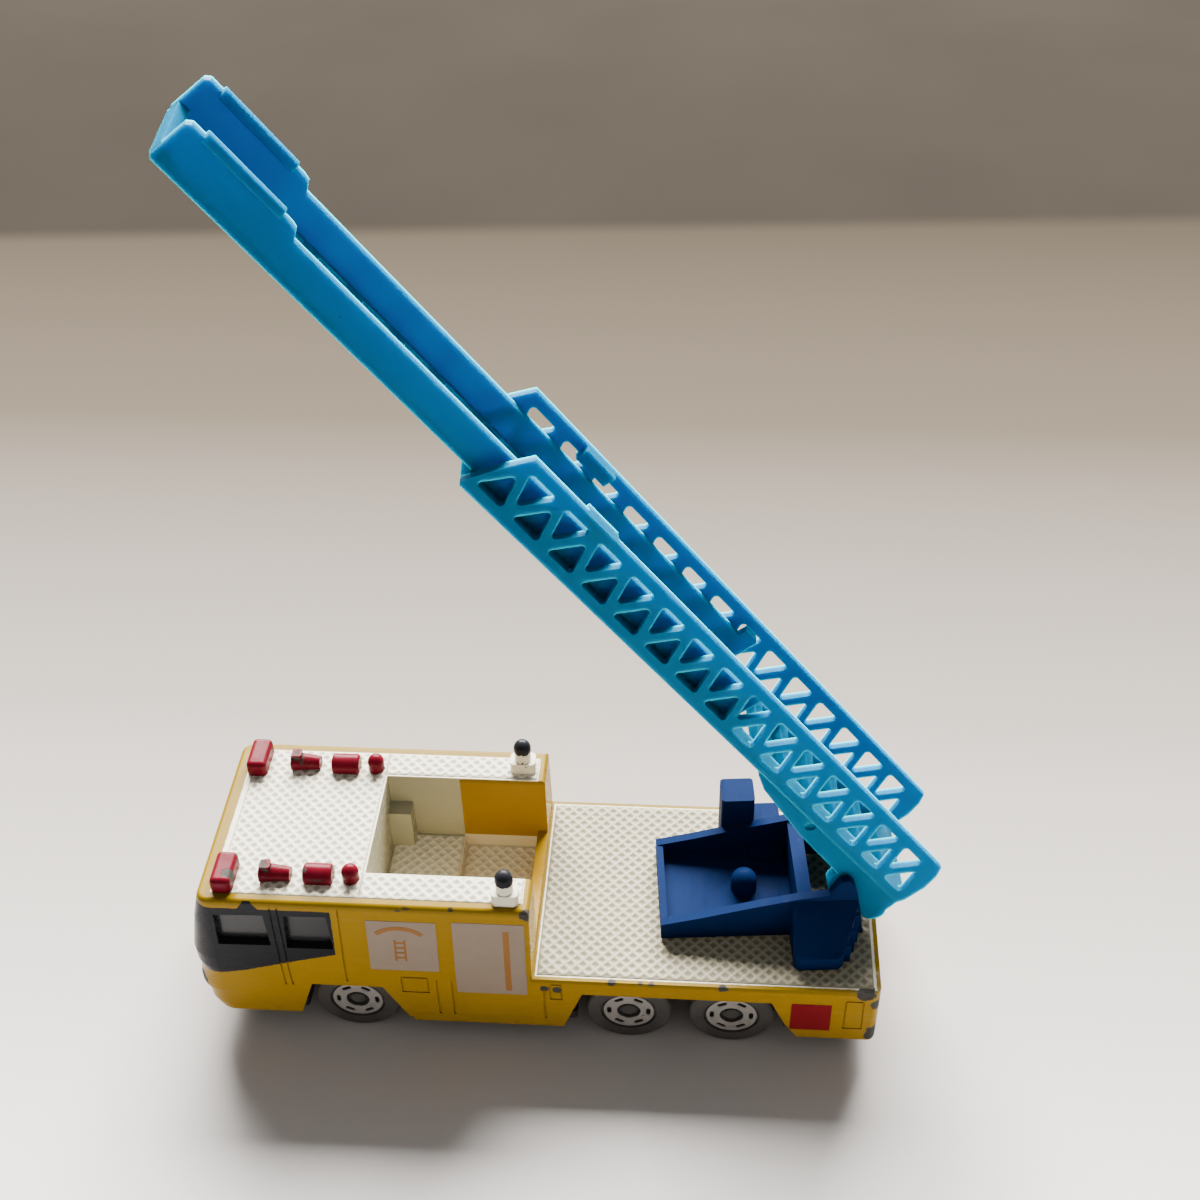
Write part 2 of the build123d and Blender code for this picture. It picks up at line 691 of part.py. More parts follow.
def lower_ladder_side(side):
    """One side of the outer ladder section: a panel of lattice with a tab on its inner face."""
    with BuildPart() as panel:
        with BuildSketch(ladder_plane.offset(side * (lower_half_width - lower_panel / 2))):
            with BuildLine():
                Polyline([(69.3, lower_bottom + 0.4), (67.9, lower_bottom + 4.7), (66.9, lower_top),
                          (-3.9, lower_top), (-4.85, 8.9), (-5.7, 6.9), (-6.1, 4.1),
                          (-5.9, lower_bottom), (69.0, lower_bottom)], close=True)
            make_face()
        extrude(amount=lower_panel / 2, both=True)
        add(lattice_holes(), mode=Mode.SUBTRACT)
        # The tab near the top keeps the upper section in
        with BuildSketch(ladder_plane.offset(side * 4.65)):
            with Locations(((tab_rear + tab_front) / 2, (tab_bottom + lower_top) / 2)):
                Rectangle(tab_front - tab_rear, lower_top - tab_bottom)
        extrude(amount=0.5, both=True)
    return panel.part


def lower_ladder_rungs():
    """The floor of the outer section, cut through between its rungs."""
    inside = lower_half_width - lower_panel
    with BuildPart() as floor:
        with BuildSketch(ladder_plane):
            with Locations(((69.0 - 5.9) / 2, lower_bottom + lower_floor / 2)):
                Rectangle(69.0 + 5.9, lower_floor)
        extrude(amount=inside, both=True)
        with BuildSketch(Plane(origin=hinge_point, x_dir=along_ladder, z_dir=rise)):
            for number in range(14):
                with Locations((number * lattice_pitch - 0.2, 0)):
                    RectangleRounded(lattice_pitch - rung_width, lower_gap, 0.5)
        extrude(amount=lower_bottom + lower_floor + 0.5, mode=Mode.SUBTRACT)
    return floor.part


def upper_ladder_side(side):
    """One side of the inner section: a plain wall, higher at the basket, with a rim and a stop lug."""
    wall_middle = side * (upper_half_width - upper_panel / 2)
    with BuildPart() as side_wall:
        with BuildSketch(ladder_plane.offset(wall_middle)):
            with BuildLine():
                Polyline([(upper_rear, upper_bottom), (upper_rear, upper_top - 0.4),
                          (upper_rear + 0.4, upper_top), (94.6, upper_top), (94.9, 8.4),
                          (95.2, 8.8), (95.8, basket_top), (106.3, basket_top),
                          (upper_tip, basket_top - 0.4), (upper_tip, upper_bottom + 0.3),
                          (upper_tip - 0.3, upper_bottom)], close=True)
            make_face()
        extrude(amount=upper_panel / 2, both=True)
        # Rounded rim along the basket's edge
        with BuildSketch(Plane(origin=hinge_point + along_ladder * rim_rear, x_dir=sideways,
                               z_dir=along_ladder)):
            with Locations((side * 4.1, -basket_top + 0.1)):
                RectangleRounded(1.2, 1.0, 0.42)
        extrude(amount=rim_front - rim_rear)
        # Stop lug at the rear, which runs up against the tab
        with BuildSketch(ladder_plane.offset(wall_middle)):
            with BuildLine():
                Polyline([(upper_rear, 7.0), (upper_rear, 8.7), (upper_rear + 0.5, 9.1),
                          (upper_rear + 2.2, 9.1), (upper_rear + 2.2, 7.0)], close=True)
            make_face()
        extrude(amount=upper_panel / 2, both=True)
    return side_wall.part


def upper_ladder_rungs():
    """The floor of the inner section: rungs, then the closed floor and end plate of the basket."""
    inside = upper_half_width - upper_panel
    with BuildPart() as floor:
        with BuildSketch(ladder_plane):
            with Locations(((upper_rear + upper_tip) / 2, upper_bottom + upper_floor / 2)):
                Rectangle(upper_tip - upper_rear, upper_floor)
            with Locations((upper_tip - 0.6, upper_bottom + 0.7)):
                Rectangle(1.2, 1.4)
        extrude(amount=inside, both=True)
        # Gaps between the rungs, up to the basket
        with BuildSketch(Plane(origin=hinge_point, x_dir=along_ladder, z_dir=rise)):
            for number in range(12):
                with Locations((93.4 - number * rung_pitch, 0)):
                    RectangleRounded(rung_pitch - rung_width, upper_gap, 0.4)
        extrude(amount=upper_bottom + upper_floor + 0.5, mode=Mode.SUBTRACT)
    return floor.part


finish(body_casting(), "body_casting")
finish(base_plate(), "base_plate")
finish(rivet(front_rivet_station), "front_rivet")
finish(rivet(rear_rivet_station), "rear_rivet")
finish(window_glazing(), "window_glazing")
finish(cab_interior(), "cab_interior")

left_wheel = wheel()
right_wheel = left_wheel.rotate(Axis.Z, 180)
for place, station in zip(("front", "middle", "rear"), axle_stations):
    finish(axle(station), place + "_axle")
    wheel_y = wheel_face_y - wheel_width / 2
    finish(left_wheel.moved(Location((at_station(station), wheel_y, wheel_radius))), place + "_left_wheel")
    finish(right_wheel.moved(Location((at_station(station), -wheel_y, wheel_radius))), place + "_right_wheel")

finish(turntable(), "turntable")
finish(turntable_peg(), "turntable_peg")
finish(ladder_hinge_pin(), "ladder_hinge_pin")
finish(ladder_cradle(), "ladder_cradle")
for side_name, side in (("left", -1), ("right", 1)):
    finish(lower_ladder_side(side), "lower_ladder_" + side_name + "_side")
    finish(upper_ladder_side(side), "upper_ladder_" + side_name + "_side")
finish(lower_ladder_rungs(), "lower_ladder_rungs")
finish(upper_ladder_rungs(), "upper_ladder_rungs")
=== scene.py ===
import bpy
import math
import numpy as np
from mathutils import Euler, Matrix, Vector


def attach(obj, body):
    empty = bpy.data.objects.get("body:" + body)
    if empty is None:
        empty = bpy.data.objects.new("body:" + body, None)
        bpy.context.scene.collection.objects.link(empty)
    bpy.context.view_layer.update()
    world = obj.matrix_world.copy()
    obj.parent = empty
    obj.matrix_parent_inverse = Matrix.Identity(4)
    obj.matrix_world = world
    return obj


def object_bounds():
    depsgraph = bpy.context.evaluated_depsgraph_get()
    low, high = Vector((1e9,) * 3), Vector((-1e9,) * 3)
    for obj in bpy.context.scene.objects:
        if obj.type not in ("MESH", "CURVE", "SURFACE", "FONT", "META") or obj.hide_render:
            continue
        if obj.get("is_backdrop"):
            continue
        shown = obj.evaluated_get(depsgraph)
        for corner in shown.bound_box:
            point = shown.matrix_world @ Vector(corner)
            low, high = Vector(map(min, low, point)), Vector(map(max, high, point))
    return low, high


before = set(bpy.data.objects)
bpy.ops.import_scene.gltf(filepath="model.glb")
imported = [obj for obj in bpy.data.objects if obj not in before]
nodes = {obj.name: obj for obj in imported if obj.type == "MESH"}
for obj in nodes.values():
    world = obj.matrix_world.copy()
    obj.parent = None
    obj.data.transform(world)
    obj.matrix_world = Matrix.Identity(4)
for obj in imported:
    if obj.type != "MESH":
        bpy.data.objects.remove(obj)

cad_low, cad_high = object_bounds()
MM = 0.001

# Places are in millimetres in the truck's own frame: +X forward, +Y left, +Z up.
# A station is a distance behind the front bumper.
FRONT_X = 42.0
CAB_REAR = 39.0
AXLES = (18.4, 50.0, 61.8)
WHEEL_Z = 4.9
TURNTABLE_X = FRONT_X - 62.9
WELL_FLOOR = 10.3
DECK = 11.9
ROOF = 22.0
# Heights between the well floor and the deck, and between the deck and the roof
DECK_FROM = 11.0
ROOF_FROM = 21.0
# How far out the body's side is: (height, distance from the middle)
SIDE_LEVELS = ((2.0, 13.4), (9.7, 13.35), (10.4, 13.33), (11.3, 13.31), (13.0, 13.18),
               (14.6, 12.99), (18.0, 12.58), (22.0, 12.1))
SIDES = ((1, "left"), (-1, "right"))


def at_station(distance):
    """The X of a station."""
    return FRONT_X - distance


def side_y(height):
    """How far out the body's side is at a height."""
    for (z0, y0), (z1, y1) in zip(SIDE_LEVELS, SIDE_LEVELS[1:]):
        if height <= z1:
            return y0 + (y1 - y0) * (height - z0) / (z1 - z0)
    return SIDE_LEVELS[-1][1]


# ---------------------------------------------------------------- node helpers

class Graph:
    """A material with a principled shader, and short calls for its nodes.

    Its x, y and z are the place of a point on the truck in millimetres.
    """

    def __init__(self, name, roughness=0.5, metallic=0.0, coat=0.0, specular=0.5):
        self.material = bpy.data.materials.new(name)
        self.material.use_nodes = True
        self.tree = self.material.node_tree
        self.tree.nodes.clear()
        self.shader = self.node("BsdfPrincipled")
        self.tree.links.new(self.shader.outputs[0], self.node("OutputMaterial").inputs["Surface"])
        self.put("Roughness", roughness)
        self.put("Metallic", metallic)
        self.put("Coat Weight", coat)
        self.put("Specular IOR Level", specular)
        scale = self.node("VectorMath")
        scale.operation = "SCALE"
        scale.inputs["Scale"].default_value = 1.0 / MM
        self.tree.links.new(self.node("TexCoord").outputs["Object"], scale.inputs[0])
        self.mm = scale.outputs[0]
        split = self.node("SeparateXYZ")
        self.tree.links.new(self.mm, split.inputs[0])
        self.x, self.y, self.z = split.outputs

    def node(self, kind):
        """A new node of a kind."""
        return self.tree.nodes.new("ShaderNode" + kind)

    def feed(self, socket, value):
        """A number, a colour or another node's output on a socket."""
        if isinstance(value, bpy.types.NodeSocket):
            self.tree.links.new(value, socket)
        elif isinstance(value, tuple):
            socket.default_value = (*value, 1.0)
        else:
            socket.default_value = value

    def put(self, socket_name, value):
        """The same on one of the shader's sockets."""
        self.feed(self.shader.inputs[socket_name], value)

    def math(self, operation, a, b=0.0):
        """One sum of one or two values."""
        node = self.node("Math")
        node.operation = operation
        self.feed(node.inputs[0], a)
        self.feed(node.inputs[1], b)
        return node.outputs[0]

    def map_range(self, value, limits, results):
        """A node that takes a value between two limits to a value between two results."""
        node = self.node("MapRange")
        for socket, number in zip(node.inputs, (value, *limits, *results)):
            self.feed(socket, number)
        return node

    def step(self, value, edge, soft=0.05):
        """0 below the edge and 1 above it, with a soft change."""
        node = self.map_range(value, (edge - soft, edge + soft), (0.0, 1.0))
        node.interpolation_type = "SMOOTHSTEP"
        return node.outputs[0]

    def blend(self, amount, first, second):
        """A number between first and second."""
        return self.map_range(amount, (0.0, 1.0), (first, second)).outputs[0]

    def invert(self, value):
        """1 where a value is 0, and 0 where it is 1."""
        return self.math("SUBTRACT", 1.0, value)

    def below(self, value, edge, soft=0.05):
        """1 below the edge and 0 above it, with a soft change."""
        return self.invert(self.step(value, edge, soft))

    def inside(self, value, low, high, soft=0.05):
        """1 between two limits and 0 outside them."""
        return self.math("MULTIPLY", self.step(value, low, soft), self.below(value, high, soft))

    def all_of(self, *values):
        """1 where every value is 1."""
        result = values[0]
        for value in values[1:]:
            result = self.math("MULTIPLY", result, value)
        return result

    def any_of(self, *values):
        """The largest of the values."""
        result = values[0]
        for value in values[1:]:
            result = self.math("MAXIMUM", result, value)
        return result

    def noise(self, scale, detail=2.0, roughness=0.5, stretch=None):
        """Noise with this many features per millimetre."""
        node = self.node("TexNoise")
        node.inputs["Scale"].default_value = scale
        node.inputs["Detail"].default_value = detail
        node.inputs["Roughness"].default_value = roughness
        place = self.mm
        if stretch:
            grow = self.node("VectorMath")
            grow.operation = "MULTIPLY"
            grow.inputs[1].default_value = stretch
            self.tree.links.new(place, grow.inputs[0])
            place = grow.outputs[0]
        self.tree.links.new(place, node.inputs["Vector"])
        return node.outputs[0]

    def shift(self, noise, reach):
        """A noise as a shift of up to half the reach either way."""
        return self.math("MULTIPLY", self.math("SUBTRACT", noise, 0.5), reach)

    def mix(self, amount, first, second):
        """A colour between first and second."""
        node = self.node("Mix")
        node.data_type = "RGBA"
        # A colour mix has its two colours on sockets 6 and 7 and its result on output 2
        self.feed(node.inputs[0], amount)
        self.feed(node.inputs[6], first)
        self.feed(node.inputs[7], second)
        return node.outputs[2]

    def ramp(self, value, stops):
        """A colour that changes evenly between (value, colour) stops."""
        first = stops[0][0]
        span = stops[-1][0] - first
        node = self.node("ValToRGB")
        self.feed(node.inputs[0], self.math("DIVIDE", self.math("SUBTRACT", value, first), span))
        elements = node.color_ramp.elements
        node.color_ramp.interpolation = "LINEAR"
        while len(elements) < len(stops):
            elements.new(0.5)
        for element, (where, tone) in zip(elements, stops):
            element.position = (where - first) / span
            element.color = (*tone, 1.0)
        return node.outputs[0]

    def bump(self, height, strength, depth=0.05):
        """Fine relief in the surface, with a depth in millimetres."""
        node = self.node("Bump")
        node.inputs["Strength"].default_value = strength
        node.inputs["Distance"].default_value = depth * MM
        self.tree.links.new(height, node.inputs["Height"])
        self.tree.links.new(node.outputs[0], self.shader.inputs["Normal"])

    def distance_to(self, *point):
        """Millimetres from a point."""
        node = self.node("VectorMath")
        node.operation = "DISTANCE"
        self.tree.links.new(self.mm, node.inputs[0])
        node.inputs[1].default_value = point
        return node.outputs["Value"]


def dress(obj, material):
    """Give an object one material in place of any it has."""
    obj.data.materials.clear()
    obj.data.materials.append(material)


# ---------------------------------------------------------------- materials

# Most paints and plastics are mottled between a dark and a light tone
YELLOW = (0.31, 0.17, 0.003)
YELLOW_TONES = ((0.30, 0.168, 0.0032), (0.36, 0.205, 0.0052))
# Darker yellow for the top rims of the roof and deck: painted shade that offsets the strong light falling on
# them
YELLOW_PAINTED_SHADE_AT_RIMS = (0.215, 0.132, 0.0014)
WHITE_TONES = ((0.74, 0.69, 0.54), (0.84, 0.79, 0.64))
# Darkened white for the front of the well: painted shade in the recess
WELL_PAINTED_SHADE_TONES = ((0.36, 0.34, 0.24), (0.42, 0.40, 0.29))
LIGHT_RED_TONES = ((0.105, 0.003, 0.010), (0.15, 0.006, 0.017))
CHIP_METAL_TONES = ((0.02, 0.019, 0.017), (0.075, 0.071, 0.062))
BLACK = (0.016, 0.017, 0.02)
GRIME = (0.10, 0.07, 0.03)

# Lower edge of the black round the windows: (station, height)
WINDOW_FOOT = ((0.0, 10.35), (4.4, 10.75), (6.8, 11.35), (12.75, 13.15), (17.2, 14.35), (20.0, 15.1))
# The height that a white shade stands for when a ramp carries heights as shades of grey
HEIGHT_OF_WHITE = 20.0

# Places knocked down to bare metal: station, Y, Z and size
CHIP_SPOTS = ((76.6, 13.4, 11.6, 1.1), (78.0, 13.0, 9.8, 0.9), (78.0, 12.9, 4.4, 1.3),
              (39.0, 12.2, 21.5, 0.8), (48.2, 13.4, 11.75, 0.45), (52.6, 13.4, 11.8, 0.3),
              (60.6, 13.4, 11.6, 0.55), (51.4, 13.4, 11.9, 0.25), (5.4, 9.9, 23.2, 0.95),
              (4.6, 8.0, 23.2, 0.55), (9.6, 8.5, 23.7, 0.75), (9.6, -8.5, 23.7, 0.7),
              (5.2, -10.2, 23.2, 0.8), (3.9, 7.6, 22.9, 0.5), (40.6, 13.4, 10.2, 0.5),
              (42.0, 13.4, 10.1, 0.55), (30.6, 12.1, 22.0, 0.35), (0.9, 12.0, 8.2, 0.9))


def base_coat(g, station, out, wander):
    """The casting's yellow, with white on the roof, in the well and on the deck, and red lights."""
    z = g.math("ADD", g.z, wander)
    rough_out = g.math("ADD", out, wander)
    rough_station = g.math("ADD", station, wander)
    cloud = g.noise(0.12, 3)
    deck_edge = g.all_of(g.inside(g.z, 11.3, 12.2, 0.2), g.step(station, CAB_REAR))
    # The top rims of the roof and deck take a darker yellow, a painted shade against the strong light on them
    rims = g.any_of(g.step(g.z, 21.3, 0.25), deck_edge)
    yellow = g.mix(rims, g.mix(cloud, *YELLOW_TONES), YELLOW_PAINTED_SHADE_AT_RIMS)
    on_roof = g.all_of(g.step(z, 21.86, 0.06), g.inside(rough_station, 3.6, 38.4), g.below(rough_out, 10.95))
    well_floors = g.all_of(g.inside(station, 20.0, 37.8), g.below(out, 7.42), g.inside(g.z, 10.0, 12.1))
    on_deck = g.all_of(g.inside(z, 11.82, 12.4, 0.04), g.inside(rough_station, 39.5, 77.7),
                       g.below(rough_out, 12.95))
    rear_beacons = g.all_of(g.step(g.z, 22.05, 0.03), g.step(station, 30.0))
    white_places = g.any_of(on_roof, well_floors, on_deck, rear_beacons)
    colour = g.mix(white_places, yellow, g.mix(cloud, *WHITE_TONES))
    # The white at the front of the well is darkened with painted shade in the recess
    front_of_well = g.all_of(g.inside(station, 20.0, 29.0), g.below(out, 7.65), g.step(g.z, 10.0))
    colour = g.mix(g.all_of(front_of_well, g.invert(on_roof)), colour, g.mix(cloud, *WELL_PAINTED_SHADE_TONES))
    front_lights = g.all_of(g.step(g.z, 22.06, 0.03), g.below(station, 21.0))
    return g.mix(front_lights, colour, g.mix(g.noise(0.5, 2), *LIGHT_RED_TONES))


def black_places(g, station, out, wander):
    """The frames round the windows and the caps of the rear beacons."""
    z = g.math("ADD", g.z, wander)
    foot_greys = [(where, (height / HEIGHT_OF_WHITE,) * 3) for where, height in WINDOW_FOOT]
    foot = g.math("MULTIPLY", g.ramp(station, foot_greys), HEIGHT_OF_WHITE)
    above_foot = g.step(g.math("SUBTRACT", z, foot), 0.0, 0.04)
    head = g.blend(g.step(station, 2.4, 1.2), 21.45, 20.9)
    below_head = g.below(g.math("SUBTRACT", z, head), 0.0, 0.04)
    before_rear_edge = g.below(g.math("ADD", station, wander), 17.15, 0.04)
    on_outer_walls = g.any_of(g.step(out, 11.0, 0.2), g.below(station, 4.0, 0.1))
    band = g.all_of(above_foot, below_head, before_rear_edge, on_outer_walls)
    # Above the pillar between the windows the black narrows up to the roof edge
    from_pillar = g.math("ABSOLUTE", g.math("SUBTRACT", station, 7.9))
    spread = g.math("MULTIPLY", g.math("SUBTRACT", ROOF, g.z), 0.75)
    nub = g.all_of(g.below(g.math("SUBTRACT", from_pillar, spread), 0.35, 0.05),
                   g.inside(g.z, 20.6, 22.02), g.step(out, 11.9, 0.05))
    cap = g.step(g.math("ADD", g.z, g.shift(g.noise(2.2, 3), 1.1)), 25.1, 0.05)
    return g.any_of(band, nub, g.all_of(cap, g.step(station, 30.0)))


def chipped_places(g, station, out):
    """Bare metal along the outer edges, on the lights and at the knocked spots."""
    fine = g.noise(0.9, 6, 0.65)
    coarse = g.noise(0.28, 3)
    roof_rim = g.all_of(g.inside(g.z, 21.4, 22.2, 0.1),
                        g.any_of(g.step(out, 11.8, 0.1), g.step(station, 38.6, 0.1)))
    deck_rim = g.all_of(g.inside(g.z, 11.3, 12.1, 0.1), g.step(station, 39.6, 0.1),
                        g.any_of(g.step(out, 12.95, 0.1), g.step(station, 77.5, 0.1)))
    cab_rear_edge = g.all_of(g.inside(station, 38.6, 39.6, 0.1), g.step(g.z, DECK, 0.1),
                             g.step(out, 6.9, 0.1))
    rear_corner = g.all_of(g.step(station, 76.9, 0.3), g.step(out, 12.4, 0.3))
    sills = g.all_of(g.below(g.z, 3.6, 0.2), g.step(out, 12.8, 0.1))
    rims = g.any_of(roof_rim, deck_rim, cab_rear_edge, rear_corner, sills)
    rim_chips = g.math("MULTIPLY", rims, g.step(g.math("ADD", fine, g.shift(coarse, 0.9)), 0.735, 0.012))
    worn_lights = g.math("MULTIPLY", g.step(g.z, 22.9, 0.1), g.step(g.noise(0.8, 4, 0.6), 0.64, 0.015))
    spots = []
    for spot_station, spot_y, spot_z, size in CHIP_SPOTS:
        away = g.distance_to(at_station(spot_station), spot_y, spot_z)
        spots.append(g.below(g.math("ADD", away, g.shift(fine, 1.6 * size)), size, 0.05))
    return g.any_of(rim_chips, worn_lights, *spots)


def enamel():
    """The casting's paint: yellow, white tops, red lights, black window frames, and bare chips."""
    g = Graph("die_cast_enamel", roughness=0.3, coat=0.02, specular=0.05)
    g.put("Coat Roughness", 0.08)
    station = g.math("SUBTRACT", FRONT_X, g.x)
    out = g.math("ABSOLUTE", g.y)
    wander = g.shift(g.noise(1.6, 4, 0.6), 0.22)
    colour = base_coat(g, station, out, wander)
    colour = g.mix(black_places(g, station, out, wander), colour, BLACK)
    chipped = chipped_places(g, station, out)
    colour = g.mix(chipped, colour, g.mix(g.noise(1.4, 4), *CHIP_METAL_TONES))
    # Faint grime low on the sides
    grime = g.math("MULTIPLY", g.noise(0.45, 5, 0.6), g.below(g.z, 6.5, 4.0))
    g.put("Base Color", g.mix(g.math("MULTIPLY", grime, 0.22), colour, GRIME))
    scuffs = g.noise(0.9, 4, 0.7, stretch=(0.25, 1.0, 1.0))
    rough = g.blend(g.step(scuffs, 0.58, 0.12), 0.22, 0.42)
    g.put("Roughness", g.blend(chipped, rough, 0.55))
    slow_waves = g.math("MULTIPLY", g.noise(0.55, 2), 0.7)
    fine_waves = g.math("MULTIPLY", g.noise(3.0, 2), 0.10)
    chip_depth = g.math("MULTIPLY", chipped, 0.8)
    g.bump(g.math("SUBTRACT", g.math("ADD", slow_waves, fine_waves), chip_depth), 0.35, 0.06)
    return g.material


def tread_paint():
    """Cream-white enamel on the tread, a little darker in its pits with dirt and painted shade."""
    g = Graph("tread_enamel", roughness=0.36, coat=0.02, specular=0.08)
    g.put("Coat Roughness", 0.12)
    station = g.math("SUBTRACT", FRONT_X, g.x)
    on_roof = g.step(g.z, ROOF_FROM, 0.1)
    at_deck_height = g.all_of(g.step(g.z, DECK_FROM, 0.1), g.invert(on_roof))
    base_z = g.any_of(g.math("MULTIPLY", on_roof, ROOF), g.math("MULTIPLY", at_deck_height, DECK), WELL_FLOOR)
    lift = g.math("SUBTRACT", g.z, base_z)
    pit = g.below(lift, 0.065, 0.055)
    cloud = g.noise(0.10, 3)
    on_deck = g.math("MULTIPLY", g.step(station, CAB_REAR), g.invert(on_roof))
    roof_white = g.mix(cloud, (0.76, 0.71, 0.57), (0.84, 0.79, 0.65))
    # The deck's white is set at about half the brightness of the roof's white
    deck_white = g.mix(cloud, (0.34, 0.31, 0.21), (0.41, 0.375, 0.27))
    white = g.mix(on_deck, roof_white, deck_white)
    # The pits are darkened with dirt and painted shade: most on the deck, less on the roof, least in the well
    well_or_roof_pit_darkening = g.blend(on_roof, 0.25, 0.55)
    pit_dirt_and_shade_depth = g.blend(on_deck, well_or_roof_pit_darkening, 0.72)
    pit_dirt_and_shade = g.all_of(pit, g.blend(g.noise(0.22, 4, 0.6), 0.55, 1.2), pit_dirt_and_shade_depth)
    colour = g.mix(pit_dirt_and_shade, white, (0.12, 0.105, 0.07))
    # Ridge tops are rubbed grey in places
    rubbed = g.math("MULTIPLY", g.step(lift, 0.11, 0.02), g.step(g.noise(0.5, 5, 0.65), 0.66, 0.02))
    g.put("Base Color", g.mix(g.math("MULTIPLY", rubbed, 0.5), colour, (0.34, 0.33, 0.29)))
    g.put("Roughness", g.blend(g.noise(0.7, 3), 0.26, 0.46))
    g.bump(g.noise(2.4, 2), 0.15, 0.03)
    return g.material


def royal_plastic():
    """Royal-blue moulded plastic with dust and fine handling marks."""
    g = Graph("royal_blue_plastic", roughness=0.5, specular=0.01)
    colour = g.mix(g.noise(0.2, 3), (0.0030, 0.012, 0.052), (0.0042, 0.016, 0.068))
    dust = g.math("MULTIPLY", g.step(g.noise(1.8, 5, 0.65), 0.66, 0.05), 0.2)
    g.put("Base Color", g.mix(dust, colour, (0.04, 0.055, 0.09)))
    marks = g.noise(1.3, 5, 0.7, stretch=(1.0, 0.2, 1.0))
    g.put("Roughness", g.blend(g.step(marks, 0.6, 0.12), 0.44, 0.6))
    g.bump(g.math("ADD", g.noise(0.4, 2), g.math("MULTIPLY", marks, 0.05)), 0.25, 0.06)
    return g.material


def ladder_plastic():
    """Light-blue plastic that lets a little light through."""
    g = Graph("light_blue_plastic", roughness=0.32, specular=0.015)
    g.put("Subsurface Weight", 0.85)
    g.put("Subsurface Scale", 2.2 * MM)
    g.shader.inputs["Subsurface Radius"].default_value = (0.25, 0.8, 1.0)
    colour = g.mix(g.noise(0.12, 3), (0.0, 0.118, 0.235), (0.001, 0.148, 0.285))
    speck = g.step(g.noise(1.1, 4, 0.7), 0.735, 0.008)
    g.put("Base Color", g.mix(g.math("MULTIPLY", speck, 0.5), colour, (0.01, 0.03, 0.04)))
    marks = g.noise(0.9, 5, 0.7)
    g.put("Roughness", g.blend(g.step(marks, 0.6, 0.12), 0.28, 0.44))
    g.bump(g.math("ADD", g.noise(0.35, 2), g.math("MULTIPLY", marks, 0.06)), 0.25, 0.06)
    return g.material


def wheel_plastic():
    """Black plastic tyre with a silver-printed hub ring round a dark centre."""
    g = Graph("wheel_black_and_silver", roughness=0.42, specular=0.3)
    radii = []
    for station in AXLES:
        dx = g.math("SUBTRACT", g.x, at_station(station))
        dz = g.math("SUBTRACT", g.z, WHEEL_Z)
        squares = g.math("ADD", g.math("MULTIPLY", dx, dx), g.math("MULTIPLY", dz, dz))
        radii.append(g.math("SQRT", squares))
    radius = g.math("MINIMUM", g.math("MINIMUM", radii[0], radii[1]), radii[2])
    ring = g.inside(g.math("ADD", radius, g.shift(g.noise(1.5, 3), 0.12)), 1.36, 2.88, 0.03)
    outer_face = g.step(g.math("ABSOLUTE", g.y), 12.02, 0.03)
    unworn = g.invert(g.math("MULTIPLY", g.step(g.noise(1.6, 5, 0.7), 0.66, 0.03), 0.7))
    silver = g.all_of(ring, outer_face, unworn)
    black = g.mix(g.noise(0.4, 3), (0.048, 0.044, 0.041), (0.078, 0.072, 0.067))
    dust = g.math("MULTIPLY", g.step(g.noise(1.4, 5, 0.7), 0.6, 0.1), 0.18)
    black = g.mix(dust, black, (0.14, 0.13, 0.12))
    g.put("Base Color", g.mix(silver, black, (0.62, 0.59, 0.55)))
    g.put("Metallic", g.math("MULTIPLY", silver, 0.75))
    g.put("Roughness", g.blend(silver, g.blend(g.noise(1.1, 3), 0.38, 0.6), 0.36))
    g.bump(g.noise(2.2, 3), 0.2, 0.04)
    return g.material


def smoked_glass():
    """Dark clear plastic of the window insert."""
    g = Graph("smoked_window", roughness=0.2, specular=0.2)
    g.put("Transmission Weight", 0.3)
    g.put("Base Color", g.mix(g.noise(0.3, 2), (0.022, 0.024, 0.026), (0.036, 0.038, 0.041)))
    g.put("Roughness", g.blend(g.noise(0.8, 4), 0.14, 0.26))
    g.bump(g.noise(0.3, 2), 0.12)
    return g.material


def moulded(name, dark, light):
    """Plain moulded plastic in one colour with slight mottling."""
    g = Graph(name)
    g.put("Base Color", g.mix(g.noise(0.5, 4, 0.6), dark, light))
    g.put("Roughness", g.blend(g.noise(1.1, 3), 0.4, 0.6))
    g.bump(g.noise(2.4, 3), 0.2, 0.04)
    return g.material


def bare_metal(name, dark, light):
    """Unpainted metal, mottled between two greys."""
    g = Graph(name, roughness=0.35, metallic=1.0)
    g.put("Base Color", g.mix(g.noise(0.9, 4, 0.6), dark, light))
    g.put("Roughness", g.blend(g.noise(2.0, 4), 0.25, 0.5))
    g.bump(g.noise(3.0, 3), 0.2, 0.03)
    return g.material


def print_ink(name, dark, light, wear_limit=0.74):
    """Printed label ink, a little uneven, with yellow showing through where it is worn."""
    g = Graph(name, roughness=0.35, coat=0.02, specular=0.08)
    ink = g.mix(g.noise(0.5, 4, 0.6), dark, light)
    worn = g.step(g.noise(1.2, 6, 0.7), wear_limit, 0.01)
    g.put("Base Color", g.mix(worn, ink, YELLOW))
    g.put("Roughness", g.blend(g.noise(1.0, 3), 0.3, 0.45))
    g.bump(g.noise(2.0, 3), 0.15, 0.03)
    return g.material


paint = enamel()
tread = tread_paint()
royal = royal_plastic()
sky = ladder_plastic()
wheel_look = wheel_plastic()
steel = bare_metal("axle_steel", (0.32, 0.32, 0.33), (0.62, 0.62, 0.62))

